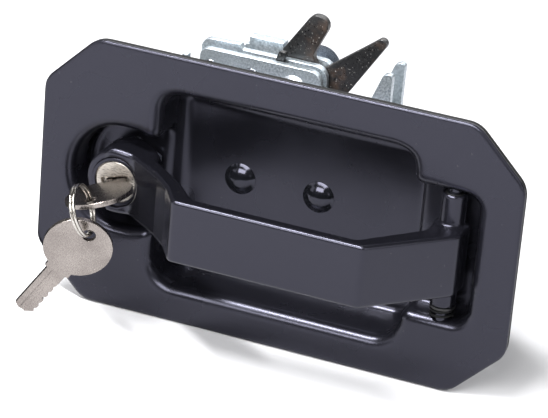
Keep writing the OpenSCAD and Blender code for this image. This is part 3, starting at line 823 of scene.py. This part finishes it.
# Drawn steel: bright, with faint lines along the depth of the draw.
bright_cup = grained("drawn_bright_steel", "#c3c8cd", "#e2e6ea", 0.2, 0.8, 0.06, metallic=1.0,
                     stretch=(1, 0.1, 1))
cup = turned([(7.5, 43.5), (8.2, 43.6), (8.2, 50.6), (7.9, 51.5), (7.0, 52.0), (3.5, 52.0),
              (3.2, 51.8), (3.2, 51.3), (6.8, 51.2), (7.45, 50.6)], sides=56, closed=True)
lathed_piece("spring_cup", cup, PAWL, bright_cup, "pan", "spring_housing")
wound("pawl_torsion_spring", coil(PAWL, 5.4, 44.6, 1.3, 3.2), 0.6, spring_wire,
      "pan", "spring_steel", "pawl_spring")

# ---------------------------------------------------------------- Slide bar
# A 2 mm zinc-plated strip between the front and middle plates, with two slots on guide pins. The
# handle's tail pushes its right end, and its left end pushes the trip lever.

softened("release_bar", "slide_bar", 0.25, bright_zinc, "slide_bar")

# ---------------------------------------------------------------- Hinge
# A 5 mm pin pressed into both walls of the pocket. The handle turns on it in two black acetal
# bushes, and a short spring of three turns round it returns the handle. The spring is blackened, and
# its colour is painted darker still as painted shade.

PIN_R, PIN_END, PIN_CHAMFER = 2.5, 27.5, 0.2

# Acetal: smooth moulded plastic with a soft shine, without the coat's blue cast.
black_acetal = grained("black_acetal", "#101011", "#18181a", 0.35, 0.6, 0.08)
softened("hinge_bushes", "handle_bushes", 0.2, black_acetal, "handle")
points, faces = turned([
    (0, -PIN_END), (PIN_R - PIN_CHAMFER, -PIN_END), (PIN_R, PIN_CHAMFER - PIN_END),
    (PIN_R, PIN_END - PIN_CHAMFER), (PIN_R - PIN_CHAMFER, PIN_END), (0, PIN_END)], sides=32)
upright = [(x + HINGE[0], z + HINGE[1], d) for x, d, z in points]
piece("hinge_pin", (upright, [face[::-1] for face in faces]), gloss_paint, "pan",
      "handle_pin", crease=SHARP)
# Blackened wire, matt. Its colour is painted darker than black oxide as painted shade, so that its
# turns stay as dark as the shaded pocket.
black_wire = grained("blackened_wire", "#050506", "#0a0a0b", 0.55, 0.3, 0.1, level=0.2)
return_path = [(x + HINGE[0], z + HINGE[1], d) for x, d, z in coil((0, 0), 4.2, -24.4, 1.1, 2.9)]
wound("handle_return_spring", return_path, 0.5, black_wire, "pan", "spring_steel", "handle_spring")

# ---------------------------------------------------------------- Lock
# A wafer lock in a nickel-plated barrel, held in the handle's boss by a nut. The plug's face is
# brushed flat and has a keyway; brass wafers stand in the plug, and a zinc-plated cam is on its end.

# Nickel plate: a warm white metal, a little drier than chrome.
nickel = grained("nickel_plate", "#aaa59e", "#cfcac4", 0.24, 0.35, 0.12, metallic=1.0)
# Brushed nickel: the same plate over lines drawn across the plug's face.
brushed_nickel = grained("brushed_nickel_face", "#b3ada5", "#d2ccc3", 0.3, 0.25, 0.22, metallic=1.0,
                         stretch=(0.12, 1, 1))
softened("plug_with_keyway", "lock_plug", 0.3, brushed_nickel, "plug")
softened("face_bezel", "lock_bezel", 0.2, cast_coat, "handle")
softened("lock_body", "lock_barrel", 0.25, nickel, "handle")
lathed_piece("barrel_nut", hexagon_nut(20.6, 14.0, 16.2, 9.0), (LOCK_X, 0), zinc_hardware,
             "handle", "lock_nut")
softened("brass_wafers", "lock_wafers", 0.08, plain_brass, "plug")
softened("locking_cam", "lock_cam", 0.3, bright_zinc, "plug")
softened("cam_lock_washer", "cam_washer", 0.1, zinc_hardware, "plug")
softened("cam_screw_slotted", "cam_screw", 0.15, zinc_hardware, "plug")

# ---------------------------------------------------------------- Keys and ring
# Two keys stamped from 2 mm nickel-plated brass, with rolled grooves and milled cuts. The sheet was
# rolled along the blade and tumbled bright. They hang on a split ring of two turns of wire.

RING_AT = (-61.425, -34.626, 0.487)
RING_TILT, RING_YAW = math.radians(70.05), math.radians(7.575)
RING_R, WIRE_R, TURN_GAP = 9.5, 0.6, 1.24
RING_STEPS, STEP_START, STEP_LENGTH, RING_POINTS = 96, 87, 12, 186

# Tumbled nickel: a soft even sheen with a faint upright grain.
key_nickel = grained("tumbled_nickel_key", "#867f7b", "#9d9691", 0.27, 0.3, 0.08, metallic=1.0,
                     stretch=(1, 1, 0.35))
softened("key_in_lock", "key", 0.3, key_nickel, "key")
softened("spare_key_blank", "spare_key", 0.3, key_nickel, "spare_key")


def split_ring():
    """Two flat turns of wire, with the step from one to the other over an eighth of a turn."""
    lean = Matrix.Rotation(RING_YAW, 3, "Z") @ Matrix.Rotation(RING_TILT, 3, "Y")
    path = []
    for i in range(RING_POINTS):
        a = 2 * math.pi * i / RING_STEPS
        step = min(max((i - STEP_START) / STEP_LENGTH, 0), 1)
        side = TURN_GAP * (3 * step ** 2 - 2 * step ** 3 - 0.5)
        flat = Vector((RING_R * math.cos(a), RING_R * math.sin(a), side))
        path.append(tuple(Vector(RING_AT) + lean @ flat))
    return path


# Bright nickel wire: polished, with almost no relief.
bright_wire = grained("bright_nickel_wire", "#a8a49e", "#c2beb8", 0.2, 1.0, 0.02, metallic=1.0)
wound("split_key_ring", split_ring(), WIRE_R, bright_wire, "key_ring", "nickel", "key_ring")
